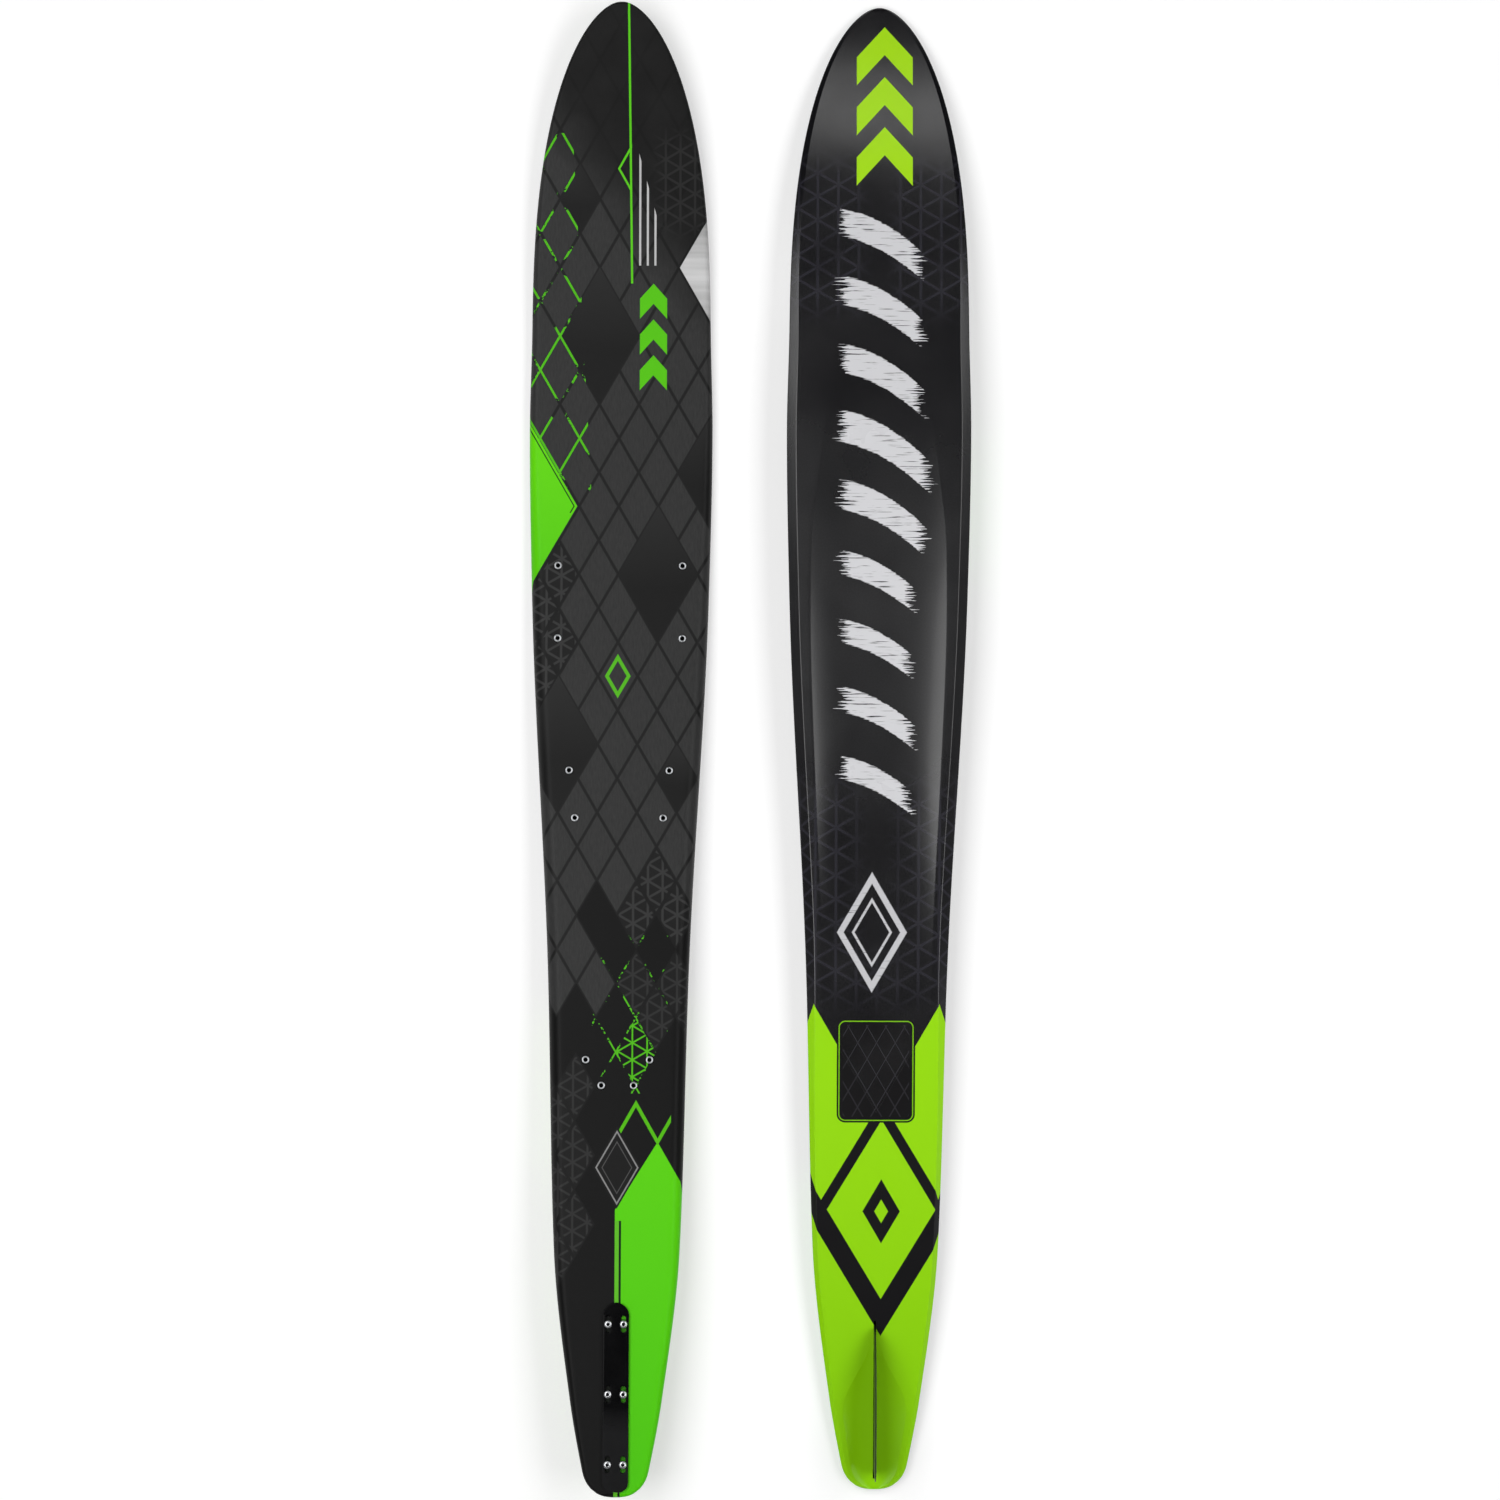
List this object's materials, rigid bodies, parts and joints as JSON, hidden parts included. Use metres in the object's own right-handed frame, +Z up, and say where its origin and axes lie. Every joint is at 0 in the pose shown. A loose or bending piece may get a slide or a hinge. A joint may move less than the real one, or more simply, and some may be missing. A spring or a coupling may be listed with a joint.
{
  "type": "water ski pair",
  "caption": "Pair of slalom water skis laid deck up and base up: layered foam-core boards with threaded binding inserts and an adjustable fin in a slotted tail block.",
  "frame": {"origin": "on the floor, at the middle of the box around both skis", "axes": "+X from the left ski to the right ski, +Y from the tails to the tips, +Z up; the left ski lies deck up, the right ski base up"},
  "size_m": [0.5204, 1.7538, 0.0873],
  "materials": {
    "deck_sheet": "satin",
    "base_sheet": "gloss",
    "laminate": "satin",
    "core_foam": "matte",
    "hard_plate": "satin",
    "insert_steel": "satin",
    "insert_brass": "satin",
    "screw_steel": "polished",
    "block_black": "gloss",
    "set_screw_steel": "satin",
    "fin_black": "satin"
  },
  "bodies": {
    "left_ski": {"left_base_sheet": "base_sheet", "left_base_laminate": "laminate", "left_core": "core_foam", "left_deck_laminate": "laminate", "left_deck_sheet": "deck_sheet", "left_front_insert_plate": "hard_plate", "left_rear_insert_plate": "hard_plate", "left_fin_insert_plate": "hard_plate", "left_toe_inserts": "insert_steel", "left_heel_inserts": "insert_steel", "left_rear_inserts": "insert_steel", "left_fin_block_inserts": "insert_brass", "left_fin_block_screws": "screw_steel"},
    "left_fin_block": {"left_fin_block": "block_black", "left_fin_set_screws": "set_screw_steel"},
    "left_fin": {"left_fin": "fin_black"},
    "right_ski": {"right_base_sheet": "base_sheet", "right_base_laminate": "laminate", "right_core": "core_foam", "right_deck_laminate": "laminate", "right_deck_sheet": "deck_sheet", "right_front_insert_plate": "hard_plate", "right_rear_insert_plate": "hard_plate", "right_fin_insert_plate": "hard_plate", "right_toe_inserts": "insert_steel", "right_heel_inserts": "insert_steel", "right_rear_inserts": "insert_steel", "right_fin_block_inserts": "insert_brass", "right_fin_block_screws": "screw_steel"},
    "right_fin_block": {"right_fin_block": "block_black", "right_fin_set_screws": "set_screw_steel"},
    "right_fin": {"right_fin": "fin_black"}
  },
  "joints": [
    {"name": "left_block_slide", "type": "slide", "parent": "left_ski", "child": "left_fin_block", "axis": [0, 0.9986, -0.0537], "range_m": [-0.006, 0.006]},
    {"name": "left_fin_depth", "type": "slide", "parent": "left_fin_block", "child": "left_fin", "axis": [0, -0.0537, -0.9986], "range_m": [-0.0025, 0.0025]},
    {"name": "right_ski_lift", "type": "slide", "parent": "left_ski", "child": "right_ski", "axis": [0, 0, 1], "range_m": [0, 0.3]},
    {"name": "right_block_slide", "type": "slide", "parent": "right_ski", "child": "right_fin_block", "axis": [0, 0.9996, 0.0295], "range_m": [-0.006, 0.006]},
    {"name": "right_fin_depth", "type": "slide", "parent": "right_fin_block", "child": "right_fin", "axis": [0, -0.0295, 0.9996], "range_m": [-0.0025, 0.0025]}
  ]
}
